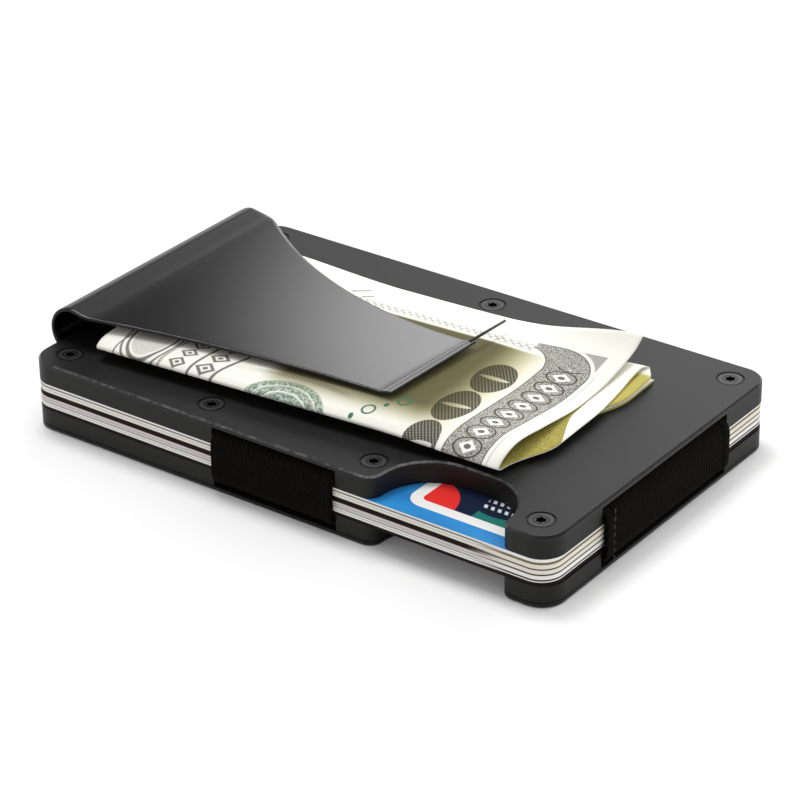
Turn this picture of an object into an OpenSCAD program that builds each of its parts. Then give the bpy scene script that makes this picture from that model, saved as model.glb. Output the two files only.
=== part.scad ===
// Minimalist card wallet with a money clip, loaded with five cards and a folded banknote.
// Two screwed aluminium halves are held together by elastic bands, with the cards between them.
// Millimetres. Origin: centre of the lower cover's underside. +X towards the banded short end,
// +Y away from the thumb notch, +Z up through the clip.

/* [Plates] */
// Length of both halves, along X
plate_l = 86; // [86:0.5:90]
// Width of both halves, along Y
plate_w = 54; // [54:0.5:58]
// Radius of the corners in plan
corner_r = 3.5; // [3.2:0.1:4.2]
// Thickness of each outer cover
cover_t = 0.7; // [0.6:0.05:0.9]
// Thickness of each inner frame
frame_t = 2.5; // [2.3:0.1:3.2]
// Chamfer round the outer edge of each cover
edge_chamfer = 0.25; // [0.1:0.05:0.3]
// Width and depth of the shadow groove between the lower cover and its frame
seam_groove = 0.12; // [0.05:0.01:0.2]

/* [Thumb notch] */
// Centre of the notch along X
notch_x = 25.6; // [24.6:0.1:26]
// Width of the notch between its side walls
notch_w = 19.4; // [18:0.1:19.8]
// Depth of the notch from the long edge
notch_depth = 9.5; // [8.5:0.1:10]
// Radius of the rounded shoulders at the mouth
shoulder_r = 2; // [1.5:0.1:2.2]

/* [Screws] */
// Distance of the screw axes from the plate edges
screw_inset = 4.1; // [4:0.1:4.5]
// Distance between the two screws beside the cross band
band_screw_gap = 26.9; // [26:0.1:27.5]
// Diameter of the screw heads
head_d = 3.5; // [3.2:0.1:3.6]
// Diameter of the screw shanks
shank_d = 1.56; // [1.4:0.02:1.6]
// Length of a screw over its head
screw_l = 2.85; // [2.4:0.05:2.9]

/* [Elastic bands] */
// Thickness of the elastic
elastic_t = 0.8; // [0.6:0.05:0.85]
// Width of the band across the middle
cross_band_w = 20; // [16:0.5:20.5]
// Centre of the cross band along X
cross_band_x = -0.4; // [-1:0.1:0.2]
// Width of the band round the short end
end_band_w = 30; // [24:0.5:31]
// Length of each end band tail inside its half
end_band_tail = 12.8; // [8:0.2:13]

/* [Money clip] */
// Thickness of the spring sheet
clip_t = 0.5; // [0.4:0.05:0.55]
// Width of the clip at its bend
clip_w = 40.6; // [38:0.2:41]
// Outer radius of the rolled bend
bend_r = 3.8; // [3.4:0.1:4]
// Length of the flat blade from the bend to the lip
blade_l = 49; // [46:0.5:51]
// Downward slope of the blade, in degrees
blade_slope = 1.4; // [1:0.1:1.6]
// Length of the turned-up lip at the tip
lip_l = 1.4; // [1:0.1:1.8]
// Angle of the turned-up lip, in degrees
lip_angle = 14; // [8:1:20]
// Radius of the hollow along the blade's far edge
far_hollow_r = 60; // [58:1:62]
// Radius of the shallow hollow along the blade's near edge
near_hollow_r = 220; // [210:5:230]

/* [Cards] */
// Length of a card
card_l = 85.6; // [85.2:0.1:85.8]
// Width of a card
card_w = 53.98; // [53.8:0.02:53.98]
// Thickness of a card
card_t = 0.76; // [0.7:0.02:0.84]
// Corner radius of a card
card_r = 3.18; // [2.9:0.02:3.2]
// Air between neighbouring cards
card_gap = 0.03; // [0.02:0.01:0.05]

/* [Banknote] */
// Short side of the banknote, which lies along X
note_w = 66; // [62:1:68]
// Width of one folded layer, about a quarter of the banknote's long side
note_layer = 37; // [36:0.5:40]
// Distance from one folded layer to the next
note_pitch = 0.85; // [0.7:0.05:0.9]
// Thickness of the solid that stands for one layer of paper
note_t = 0.3; // [0.2:0.05:0.35]
// Turn of the banknote against the wallet, in degrees
note_yaw = 4.3; // [0:0.1:5]

/* [Hidden] */
$fn = 96;
CARD_COUNT = 5;
SCREW_COUNT = 7;

// Heights of the stack, from the underside of the lower cover
half_t = cover_t + frame_t;
card_bay = CARD_COUNT * card_t + (CARD_COUNT + 1) * card_gap;
upper_z = half_t + card_bay;
total_h = upper_z + half_t;
mid_z = total_h / 2;
half_l = plate_l / 2;
half_w = plate_w / 2;

// Screw axes in plan, the same on both halves
screw_x = half_l - screw_inset;
screw_y = half_w - screw_inset;
screw_at = [
    [-screw_x, -screw_y],
    [cross_band_x - band_screw_gap / 2, -screw_y],
    [cross_band_x + band_screw_gap / 2, -screw_y],
    [screw_x, -screw_y],
    [screw_x, screw_y],
    [0, screw_y],
    [-screw_x, screw_y]
];

// Screw head: recessed rim, then a cone down to the shank
head_recess = 0.05;
rim_t = 0.1;
head_cone_t = 0.8;
head_clear = 0.03;
head_ring = 0.2;
shank_clear = 0.04;
socket_r = 0.55;
socket_lobe_r = 0.2;
socket_depth = 0.55;

// Thumb notch: two inner arcs that run smoothly into the shoulders
notch_r = notch_depth - shoulder_r;
notch_arc_x = notch_w / 2 - notch_r;
notch_arc_y = -half_w + shoulder_r;
mouth_half = notch_w / 2 + shoulder_r;
past = 5;

// Elastic bands: each runs in a channel under the cover and turns over a rounded nose
run_clear = 0.05;
channel_d = elastic_t + 2 * run_clear;
side_clear = 0.2;
nose_r = 1.75;
nose_in = nose_r;
band_in_r = nose_r + run_clear;
band_out_r = band_in_r + elastic_t;
hem_l = 1.8;
hem_t = 1.4;
eyelet_r = 1.35;

// Money clip: tang under the upper cover, small root bend, rolled bend, blade and lip
tang_clear = 0.02;
tang_l = 10;
tang_top = total_h - cover_t - tang_clear;
tang_recess = clip_t + 2 * tang_clear;
ear_x = [-half_l + 1, -half_l + 7.4];
ear_w = 50.4;
root_in_r = 0.4;
root_out_r = root_in_r + clip_t;
root_x = -half_l - 0.05;
root_z = tang_top + root_in_r;
root_angle = 218;
joint_lap = 2;
bend_in_r = bend_r - clip_t;
bend_mid_r = bend_r - clip_t / 2;
bend_x = root_x - (bend_r - root_out_r) * cos(root_angle);
bend_z = root_z - (bend_r - root_out_r) * sin(root_angle);
split_angle = 200;
split_clear = 0.06;
split_x = bend_x + bend_mid_r * cos(split_angle);
split_z = bend_z + bend_mid_r * sin(split_angle);
far_hollow = [3, far_hollow_r + 5.2];
near_hollow = [18.1, -near_hollow_r - 12.9];
tip_near_x = 8.5;
tip_far = [9.7, 12.3];
spur_root_y = 4.8;
spur_w = 0.9;
spur_tip_w = 0.4;

// Weight-saving pockets, milled from the cover side of each frame
pocket_d = 1.5;
pocket_r = 2;
left_pocket = [[-31, -18], [-13.5, 18]];
right_pocket = [[12.5, -13.5], [28, 18]];

// Banknote
note_x = -3.2;
note_y = -1.05;
note_rise = 0.1;
note_fold_r = (note_pitch + note_t) / 2;
NOTE_LAYERS = 4;

// Plane shapes

module rounded_rect(l, w, r) {
    square([l - 2 * r, w], center = true);
    square([l, w - 2 * r], center = true);
    for (sx = [-1, 1], sy = [-1, 1])
        translate([sx * (l / 2 - r), sy * (w / 2 - r)]) circle(r);
}

module rounded_box(corners, r) {
    size = corners[1] - corners[0];
    translate(corners[0] + size / 2) rounded_rect(size.x, size.y, r);
}

module notch_plan(grow) {
    for (s = [-1, 1])
        translate([notch_x + s * notch_arc_x, notch_arc_y]) circle(notch_r + grow);
    translate([notch_x - notch_arc_x, -half_w - past])
        square([2 * notch_arc_x, past + shoulder_r + notch_r + grow]);
    difference() {
        translate([notch_x - mouth_half, -half_w - past]) square([2 * mouth_half, past + shoulder_r]);
        for (s = [-1, 1])
            translate([notch_x + s * mouth_half, notch_arc_y]) circle(shoulder_r - grow);
    }
}

module plate_plan(inset) {
    difference() {
        rounded_rect(plate_l - 2 * inset, plate_w - 2 * inset, corner_r - inset);
        notch_plan(inset);
    }
}

module ring_sector(r_in, r_out, from, to) {
    reach = 3 * r_out;
    mid = (from + to) / 2;
    intersection() {
        difference() {
            circle(r_out);
            circle(r_in);
        }
        polygon([
            [0, 0],
            reach * [cos(from), sin(from)],
            reach * [cos(mid), sin(mid)],
            reach * [cos(to), sin(to)]
        ]);
    }
}

// Draws a plane shape given in X and Z, and makes it w wide along Y
module across(w) {
    rotate([90, 0, 0]) linear_extrude(w, center = true) children();
}

// Draws a plane shape given in Y and Z, and makes it l long along X
module along(l) {
    rotate([90, 0, 90]) linear_extrude(l, center = true) children();
}

// One half, drawn with the card face at height 0 and the cover on top

module chamfer_rim() {
    c = edge_chamfer;
    for (sx = [-1, 1], sy = [-1, 1])
        translate([sx * (half_l - corner_r), sy * (half_w - corner_r), 0])
            cylinder(h = c, r1 = corner_r, r2 = corner_r - c);
    along(plate_l - 2 * corner_r)
        polygon([[-half_w, 0], [half_w, 0], [half_w - c, c], [c - half_w, c]]);
    across(plate_w - 2 * corner_r)
        polygon([[-half_l, 0], [half_l, 0], [half_l - c, c], [c - half_l, c]]);
}

module chamfer_notch() {
    c = edge_chamfer;
    arc_top = notch_arc_y + notch_r;
    for (s = [-1, 1])
        translate([notch_x + s * notch_arc_x, notch_arc_y, 0])
            cylinder(h = c, r1 = notch_r, r2 = notch_r + c);
    translate([notch_x, 0, 0])
        along(2 * notch_arc_x)
            polygon([[-half_w - past, 0], [arc_top, 0], [arc_top + c, c], [-half_w - past, c]]);
    difference() {
        translate([notch_x - mouth_half, -half_w - past, 0]) cube([2 * mouth_half, past + shoulder_r, c]);
        for (s = [-1, 1])
            translate([notch_x + s * mouth_half, notch_arc_y, 0])
                cylinder(h = c, r1 = shoulder_r, r2 = shoulder_r - c);
    }
}

// The space of a countersunk screw, downwards from the outer face at height 0
module countersink(depth) {
    ring_t = head_recess + rim_t;
    translate([0, 0, -ring_t]) cylinder(h = ring_t + 1, d = head_d + 2 * head_ring);
    translate([0, 0, -ring_t - head_cone_t])
        cylinder(h = head_cone_t, d1 = shank_d + 2 * head_clear, d2 = head_d + 2 * head_clear);
    translate([0, 0, -depth]) cylinder(h = depth, d = shank_d + 2 * shank_clear);
}

module countersinks(depth) {
    for (p = screw_at)
        translate([p.x, p.y, 0]) countersink(depth);
}

module cover() {
    difference() {
        union() {
            translate([0, 0, frame_t]) linear_extrude(cover_t - edge_chamfer) plate_plan(0);
            translate([0, 0, half_t - edge_chamfer]) difference() {
                chamfer_rim();
                chamfer_notch();
            }
        }
        translate([0, 0, half_t]) countersinks(cover_t + 1);
    }
}

module cross_channel() {
    w = cross_band_w + 2 * side_clear;
    translate([cross_band_x - w / 2, -half_w - 1, frame_t - channel_d]) cube([w, plate_w + 2, channel_d + 1]);
    for (s = [-1, 1])
        translate([cross_band_x, s * (half_w - nose_in / 2 + 0.5), frame_t / 2])
            cube([w, nose_in + 1, frame_t + 2], center = true);
}

module end_channel() {
    w = end_band_w + 2 * side_clear;
    tail = end_band_tail + side_clear;
    translate([half_l - tail, -w / 2, frame_t - channel_d]) cube([tail + 1, w, channel_d + 1]);
    translate([half_l - tail, -w / 2, frame_t - hem_t - 2 * run_clear])
        cube([hem_l + 2 * side_clear, w, hem_t + 1]);
    translate([half_l - nose_in, -w / 2, -1]) cube([nose_in + 1, w, frame_t + 2]);
}

// Quarter-round nose, over which a band turns, in the plane of its section
module nose_section(reach) {
    intersection() {
        translate([reach - nose_in, frame_t - channel_d - nose_r]) circle(nose_r);
        translate([reach - nose_in - 0.01, 0]) square([nose_in + 1, frame_t]);
    }
}

module noses() {
    translate([cross_band_x, 0, 0]) along(cross_band_w + 2 * side_clear) {
        nose_section(half_w);
        mirror([1, 0]) nose_section(half_w);
    }
    across(end_band_w + 2 * side_clear) nose_section(half_l);
}

module pockets() {
    translate([0, 0, frame_t - pocket_d]) linear_extrude(pocket_d + 1) {
        rounded_box(left_pocket, pocket_r);
        rounded_box(right_pocket, pocket_r);
    }
}

module tang_recesses() {
    w = clip_w + 2 * side_clear;
    translate([-half_l - 1, -w / 2, frame_t - tang_recess])
        cube([tang_l + 1 + side_clear, w, tang_recess + 1]);
    translate([ear_x[0] - side_clear, -ear_w / 2 - side_clear, frame_t - tang_recess])
        cube([ear_x[1] - ear_x[0] + 2 * side_clear, ear_w + 2 * side_clear, tang_recess + 1]);
}

module frame(groove, for_clip) {
    difference() {
        union() {
            linear_extrude(frame_t - groove) plate_plan(0);
            if (groove > 0)
                translate([0, 0, frame_t - groove]) linear_extrude(groove) plate_plan(groove);
        }
        cross_channel();
        end_channel();
        pockets();
        if (for_clip) tang_recesses();
        translate([0, 0, half_t]) countersinks(screw_l + 0.1);
    }
    noses();
}

module socket() {
    linear_extrude(socket_depth + 1) {
        circle(socket_r, $fn = 32);
        for (a = [0:60:300])
            rotate(a) translate([socket_r, 0]) circle(socket_lobe_r, $fn = 24);
    }
}

// One screw, downwards from the outer face at height 0
module screw() {
    rim_z = -head_recess - rim_t;
    difference() {
        union() {
            translate([0, 0, rim_z]) cylinder(h = rim_t, d = head_d);
            translate([0, 0, rim_z - head_cone_t]) cylinder(h = head_cone_t, d1 = shank_d, d2 = head_d);
            translate([0, 0, -screw_l]) cylinder(h = screw_l + rim_z - head_cone_t, d = shank_d);
        }
        translate([0, 0, -head_recess - socket_depth]) socket();
    }
}

module place_upper() {
    translate([0, 0, upper_z]) children();
}

module place_lower() {
    translate([0, 0, half_t]) mirror([0, 0, 1]) children();
}

module lower_cover() {
    color("#2b2c2e") place_lower() cover();
}

module upper_cover() {
    color("#46484b") place_upper() cover();
}

module lower_frame() {
    color("#323334") place_lower() frame(seam_groove, false);
}

module upper_frame() {
    color("#3a3b3c") place_upper() frame(0, true);
}

module lower_screw(i) {
    p = screw_at[i - 1];
    color("#56585a") place_lower() translate([p.x, p.y, half_t]) screw();
}

module upper_screw(i) {
    p = screw_at[i - 1];
    color("#56585a") place_upper() translate([p.x, p.y, half_t]) screw();
}

// Elastic bands

module band_loop(reach, r) {
    h = total_h - 2 * (cover_t + run_clear + band_out_r - r);
    square([2 * (reach - nose_in), h], center = true);
    square([2 * (reach - nose_in + r), h - 2 * r], center = true);
    for (sx = [-1, 1], sz = [-1, 1])
        translate([sx * (reach - nose_in), sz * (h / 2 - r)]) circle(r);
}

module band_section(reach) {
    translate([0, mid_z]) difference() {
        band_loop(reach, band_out_r);
        band_loop(reach, band_in_r);
    }
}

module cross_band() {
    color("#0d0c0c") difference() {
        translate([cross_band_x, 0, 0]) along(cross_band_w) band_section(half_w);
        translate([0, screw_y, -1]) cylinder(h = total_h + 2, r = eyelet_r);
    }
}

module end_band() {
    hem_x = half_l - end_band_tail;
    hem_gap = cover_t + run_clear;
    color("#0d0c0c") across(end_band_w) {
        intersection() {
            band_section(half_l);
            translate([hem_x, 0]) square([half_l, total_h]);
        }
        translate([hem_x, hem_gap]) square([hem_l, hem_t]);
        translate([hem_x, total_h - hem_gap - hem_t]) square([hem_l, hem_t]);
    }
}

// Money clip

module clip_tang() {
    color("#1f2022") difference() {
        union() {
            translate([root_x, -clip_w / 2, tang_top - clip_t])
                cube([-half_l + tang_l - root_x, clip_w, clip_t]);
            translate([ear_x[0], -ear_w / 2, tang_top - clip_t]) cube([ear_x[1] - ear_x[0], ear_w, clip_t]);
            across(clip_w) {
                translate([root_x, root_z]) ring_sector(root_in_r, root_out_r, root_angle - joint_lap, 270);
                difference() {
                    translate([bend_x, bend_z]) ring_sector(bend_in_r, bend_r, split_angle, root_angle);
                    translate([split_x, split_z]) circle(clip_t / 2 + split_clear);
                }
            }
        }
        for (s = [-1, 1])
            translate([-screw_x, s * screw_y, tang_top - 2]) cylinder(h = 4, r = eyelet_r);
    }
}

module blade_section() {
    translate([bend_x, bend_z]) {
        ring_sector(bend_in_r, bend_r, 90 - blade_slope, split_angle);
        rotate(-blade_slope) {
            translate([0, bend_in_r]) square([blade_l, clip_t]);
            translate([blade_l, bend_in_r]) rotate(lip_angle) square([lip_l, clip_t]);
        }
    }
    translate([split_x, split_z]) circle(clip_t / 2);
}

module blade_plan() {
    spur_root_x = tip_near_x + 0.85;
    difference() {
        polygon([
            [-half_l - 2 * bend_r, -clip_w / 2],
            [tip_near_x, -clip_w / 2],
            [tip_far.x + 0.3, clip_w / 2],
            [-half_l - 2 * bend_r, clip_w / 2]
        ]);
        translate(far_hollow) circle(far_hollow_r, $fn = 360);
        translate(near_hollow) circle(near_hollow_r, $fn = 720);
    }
    polygon([
        [spur_root_x - spur_w, spur_root_y],
        [spur_root_x, spur_root_y],
        tip_far,
        [tip_far.x - spur_tip_w, tip_far.y]
    ]);
}

module clip_blade() {
    color("#2a2b2d") intersection() {
        across(clip_w) blade_section();
        linear_extrude(total_h + 4 * bend_r) blade_plan();
    }
}

// Contents

module card(i) {
    z = upper_z - i * (card_t + card_gap);
    translate([0, 0, z]) linear_extrude(card_t) rounded_rect(card_l, card_w, card_r);
}

module card_node(i) {
    shades = ["#2882c8", "#e8e2cf", "#1c1013", "#d9d6d4", "#eeedec"];
    color(shades[i - 1]) card(i);
}

module note_section() {
    edge = note_layer / 2 - note_fold_r;
    for (k = [0:NOTE_LAYERS - 1])
        translate([-edge, k * note_pitch]) square([2 * edge, note_t]);
    for (k = [0:NOTE_LAYERS - 2]) {
        side = k % 2 == 0 ? -1 : 1;
        middle = side < 0 ? 180 : 0;
        translate([side * edge, k * note_pitch + note_fold_r])
            ring_sector(note_fold_r - note_t, note_fold_r, middle - 90, middle + 90);
    }
}

module banknote() {
    color("#efeedd") translate([note_x, note_y, total_h + note_rise])
        rotate(note_yaw) along(note_w) note_section();
}

lower_cover();
lower_frame();
upper_cover();
upper_frame();
cross_band();
end_band();
clip_tang();
clip_blade();
banknote();
for (i = [1:CARD_COUNT])
    card_node(i);
for (i = [1:SCREW_COUNT])
    lower_screw(i);
for (i = [1:SCREW_COUNT])
    upper_screw(i);
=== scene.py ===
import math

import bmesh
import bpy
import numpy as np
from mathutils import Matrix, Vector


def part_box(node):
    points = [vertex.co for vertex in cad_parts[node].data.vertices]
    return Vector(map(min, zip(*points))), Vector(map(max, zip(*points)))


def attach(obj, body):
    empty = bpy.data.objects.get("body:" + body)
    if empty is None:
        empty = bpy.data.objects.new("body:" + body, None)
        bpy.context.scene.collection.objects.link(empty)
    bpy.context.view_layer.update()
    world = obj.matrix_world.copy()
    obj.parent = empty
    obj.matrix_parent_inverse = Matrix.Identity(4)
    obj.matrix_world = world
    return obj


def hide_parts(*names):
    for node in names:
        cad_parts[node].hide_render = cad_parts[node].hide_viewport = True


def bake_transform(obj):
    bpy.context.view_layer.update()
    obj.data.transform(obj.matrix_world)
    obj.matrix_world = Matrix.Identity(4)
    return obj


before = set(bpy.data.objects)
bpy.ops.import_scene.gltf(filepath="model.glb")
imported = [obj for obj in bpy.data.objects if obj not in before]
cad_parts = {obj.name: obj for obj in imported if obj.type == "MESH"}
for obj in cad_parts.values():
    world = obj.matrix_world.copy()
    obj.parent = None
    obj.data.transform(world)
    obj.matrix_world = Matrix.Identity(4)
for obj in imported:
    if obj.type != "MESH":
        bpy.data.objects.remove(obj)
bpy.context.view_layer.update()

MM = 0.001

# Light: the white room's strength, what the softbox and the backdrop add to it, how much darker the room is
# on the camera's side, the lamp's watts, and the table's own glow
ROOM_LIGHT = 1.1
SOFTBOX = 2.9
BACKDROP = 1.3
FRONT_SHADE = 0.6
KEY_POWER = 3.3
FLOOR_GLOW = 0.06

# The upper cover's corners and the height of its top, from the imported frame, in millimetres
COVER_LOW, COVER_HIGH = (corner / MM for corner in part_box("upper_cover"))
TOP = COVER_HIGH.z


def smoothstep(x):
    x = np.clip(x, 0.0, 1.0)
    return x * x * (3 - 2 * x)


def smooth_path(points, step):
    """A Catmull-Rom curve through the points, at steps of about the given length."""
    p = np.asarray(points, float)
    p = np.vstack([2 * p[0] - p[1], p, 2 * p[-1] - p[-2]])
    out = []
    for a, b, c, d in zip(p, p[1:], p[2:], p[3:]):
        t = np.linspace(0, 1, 24, endpoint=False)[:, None]
        square, cube = 2 * a - 5 * b + 4 * c - d, 3 * b - a - 3 * c + d
        out.append(0.5 * (2 * b + (c - a) * t + square * t**2 + cube * t**3))
    return evenly(np.vstack(out + [p[-2:-1]]), step)


def lengths(path):
    """How far along the path each of its points is."""
    return np.concatenate([[0.0], np.cumsum(np.linalg.norm(np.diff(path, axis=0), axis=1))])


def evenly(path, step):
    s = lengths(path)
    return at_lengths(path, np.linspace(0, s[-1], max(2, round(s[-1] / step) + 1)))


def at_lengths(path, where):
    s = lengths(path)
    return np.stack([np.interp(where, s, path[:, k]) for k in range(path.shape[1])], 1)


def arc(centre, radius, start, end, step=0.15):
    """Points of an arc in a plane, from one angle to another, in degrees."""
    count = max(3, round(abs(math.radians(end - start)) * radius / step) + 1)
    a = np.radians(np.linspace(start, end, count))
    return np.stack([centre[0] + radius * np.cos(a), centre[1] + radius * np.sin(a)], 1)


def left_normals(path, closed=False):
    """Unit normals to the left of a plane path."""
    if closed:
        tangent = np.roll(path, -1, 0) - np.roll(path, 1, 0)
    else:
        tangent = np.gradient(path, axis=0)
    tangent /= np.linalg.norm(tangent, axis=1)[:, None]
    return np.stack([-tangent[:, 1], tangent[:, 0]], 1)


def new_object(name, vertices, faces, uvs=None):
    """A smooth-shaded mesh object from vertices in millimetres.

    uvs gives each vertex its place on the surface, also in millimetres."""
    mesh = bpy.data.meshes.new(name)
    mesh.from_pydata([tuple(v) for v in np.asarray(vertices) * MM], [], faces)
    if uvs is not None:
        layer = mesh.uv_layers.new(name="surface")
        index = np.zeros(len(mesh.loops), np.int32)
        mesh.loops.foreach_get("vertex_index", index)
        layer.data.foreach_set("uv", np.asarray(uvs, np.float32)[index].ravel())
    mesh.polygons.foreach_set("use_smooth", [True] * len(mesh.polygons))
    mesh.validate()
    mesh.update()
    piece = bpy.data.objects.new(name, mesh)
    bpy.context.scene.collection.objects.link(piece)
    return piece


def sheet_faces(rows, columns, start=0, flip=False):
    """Quads of a grid of vertices that is rows by columns."""
    faces = []
    for r in range(rows - 1):
        for c in range(columns - 1):
            a = start + r * columns + c
            quad = (a, a + 1, a + columns + 1, a + columns)
            faces.append(quad[::-1] if flip else quad)
    return faces


def tube_faces(rows, columns, closed):
    """Quads of rows of rings, each ring a closed loop of columns; closed joins the last row to the first."""
    faces = []
    for r in range(rows if closed else rows - 1):
        for c in range(columns):
            a, b = r * columns, (r + 1) % rows * columns
            d = (c + 1) % columns
            faces.append((a + c, a + d, b + d, b + c))
    return faces


def fix_normals(piece):
    """Points every face of a closed piece outward."""
    shape = bmesh.new()
    shape.from_mesh(piece.data)
    bmesh.ops.recalc_face_normals(shape, faces=shape.faces)
    shape.to_mesh(piece.data)
    shape.free()


def soften(piece, width):
    """Rounds a piece's sharp edges, with a width in millimetres."""
    bevel = piece.modifiers.new("soft edges", "BEVEL")
    bevel.width, bevel.segments = width * MM, 2
    bevel.limit_method, bevel.angle_limit = "ANGLE", math.radians(40)


def settle(piece):
    """Applies a piece's modifiers."""
    done = bpy.data.meshes.new_from_object(piece.evaluated_get(bpy.context.evaluated_depsgraph_get()))
    piece.modifiers.clear()
    piece.data = done


# Materials


class Field:
    """A number that varies over a surface. Arithmetic on it adds Math nodes to its material."""

    def __init__(self, paint, socket):
        self.paint, self.socket = paint, socket

    def __add__(self, other):
        return self.paint.math("ADD", self, other)

    def __sub__(self, other):
        return self.paint.math("SUBTRACT", self, other)

    def __rsub__(self, other):
        return self.paint.math("SUBTRACT", other, self)

    def __mul__(self, other):
        return self.paint.math("MULTIPLY", self, other)

    def __truediv__(self, other):
        return self.paint.math("DIVIDE", self, other)

    def __pow__(self, other):
        return self.paint.math("POWER", self, other)

    def __abs__(self):
        return self.paint.math("ABSOLUTE", self)

    __radd__, __rmul__ = __add__, __mul__

    def sin(self):
        return self.paint.math("SINE", self)

    def wave(self, pitch):
        """A sine of this length over the field, from 0 to 1."""
        return (self * (2 * math.pi / pitch)).sin() * 0.5 + 0.5

    def cell(self, pitch):
        """The place inside a repeat of this length, from -0.5 to 0.5."""
        return self.paint.math("FRACT", self / pitch) - 0.5

    def step(self, low, high):
        """Rises smoothly from 0 at low to 1 at high."""
        made = self.paint.node("ShaderNodeMapRange", interpolation_type="SMOOTHSTEP")
        self.paint.feed(made.inputs["Value"], self)
        made.inputs["From Min"].default_value = low
        made.inputs["From Max"].default_value = high
        return Field(self.paint, made.outputs["Result"])

    def below(self, edge, soft=0.04):
        return 1 - self.step(edge - soft, edge + soft)

    def band(self, centre, width, soft=0.04):
        """1 where the field is within half the width of the centre."""
        return abs(self - centre).below(width / 2, soft)

    def either(self, other):
        return self.paint.math("MAXIMUM", self, other)

    def above(self, edge, soft=0.04):
        return self.step(edge - soft, edge + soft)


class Nodes:
    """A node tree under construction."""

    def __init__(self, owner):
        owner.use_nodes = True
        self.tree = owner.node_tree

    def node(self, kind, **settings):
        made = self.tree.nodes.new(kind)
        for key, value in settings.items():
            setattr(made, key, value)
        return made

    def feed(self, socket, value):
        if isinstance(value, Field):
            self.tree.links.new(value.socket, socket)
        else:
            socket.default_value = value

    def math(self, kind, *values):
        made = self.node("ShaderNodeMath", operation=kind)
        for socket, value in zip(made.inputs, values):
            self.feed(socket, value)
        return Field(self, made.outputs[0])

    def combine(self, x, y, z=0.0):
        made = self.node("ShaderNodeCombineXYZ")
        for socket, value in zip(made.inputs, (x, y, z)):
            self.feed(socket, value)
        return made.outputs[0]

    def split(self, socket, scale=1.0):
        made = self.node("ShaderNodeSeparateXYZ")
        self.tree.links.new(socket, made.inputs[0])
        fields = [Field(self, out) for out in made.outputs]
        return fields if scale == 1.0 else [f * scale for f in fields]


class Paint(Nodes):
    """A procedural material, with coordinates in millimetres."""

    def __init__(self, name):
        self.material = bpy.data.materials.new(name)
        super().__init__(self.material)
        self.shader = self.tree.nodes["Principled BSDF"]

    def place(self):
        """X, Y and Z of the frame, in millimetres. They stay with the piece as it moves."""
        return self.split(self.node("ShaderNodeTexCoord").outputs["Object"], 1 / MM)

    def surface(self):
        """The two surface coordinates that the mesh carries, in millimetres."""
        return self.split(self.node("ShaderNodeUVMap", uv_map="surface").outputs[0])[:2]

    def cut_edge_shade(self):
        """1 on the faces that the mesh marks as a sheet's cut edge, which get painted shade."""
        return Field(self, self.node("ShaderNodeAttribute", attribute_name="cut_edge").outputs["Fac"])

    def facing(self):
        """The face's direction."""
        return self.split(self.node("ShaderNodeNewGeometry").outputs["True Normal"])

    def noise(self, x, y, z=0.0, size=1.0, detail=2.0, rough=0.5):
        """Noise from 0 to 1 with features of about this size."""
        made = self.node("ShaderNodeTexNoise")
        self.tree.links.new(self.combine(x, y, z), made.inputs["Vector"])
        for key, value in (("Scale", 1 / size), ("Detail", detail), ("Roughness", rough)):
            made.inputs[key].default_value = value
        return Field(self, made.outputs["Fac"])

    def spots(self, x, y, z=0.0, size=1.0):
        """Distance to the nearest of many scattered points, in cells."""
        made = self.node("ShaderNodeTexVoronoi")
        self.tree.links.new(self.combine(x, y, z), made.inputs["Vector"])
        made.inputs["Scale"].default_value = 1 / size
        return Field(self, made.outputs["Distance"])

    def mix(self, share, low, high):
        """A colour between two others. Each may be a colour or the result of a mix."""
        made = self.node("ShaderNodeMix", data_type="RGBA", clamp_factor=True)
        self.feed(made.inputs["Factor"], share)
        for socket, value in ((made.inputs["A"], low), (made.inputs["B"], high)):
            if isinstance(value, Field):
                self.tree.links.new(value.socket, socket)
            else:
                socket.default_value = (*value, 1.0)
        return Field(self, made.outputs["Result"])

    def bump(self, height, depth):
        """Surface relief: height runs from 0 to 1 and depth is in millimetres."""
        made = self.node("ShaderNodeBump")
        self.feed(made.inputs["Height"], height)
        made.inputs["Distance"].default_value = depth * MM
        self.tree.links.new(made.outputs[0], self.shader.inputs["Normal"])

    def set(self, **values):
        for key, value in values.items():
            socket = self.shader.inputs[key.replace("_", " ")]
            if isinstance(value, Field):
                self.tree.links.new(value.socket, socket)
            elif isinstance(value, tuple):
                socket.default_value = (*value, 1.0)
            else:
                socket.default_value = value

    def give(self, piece):
        piece.data.materials.clear()
        piece.data.materials.append(self.material)


def oval(u, v, centre, radii):
    """Distance from an oval's centre, where 1 is on the oval."""
    return (((u - centre[0]) / radii[0]) ** 2 + ((v - centre[1]) / radii[1]) ** 2) ** 0.5


def grey(level):
    return (level, level, level)


def scaled(colour, share):
    return tuple(c * share for c in colour)


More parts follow.
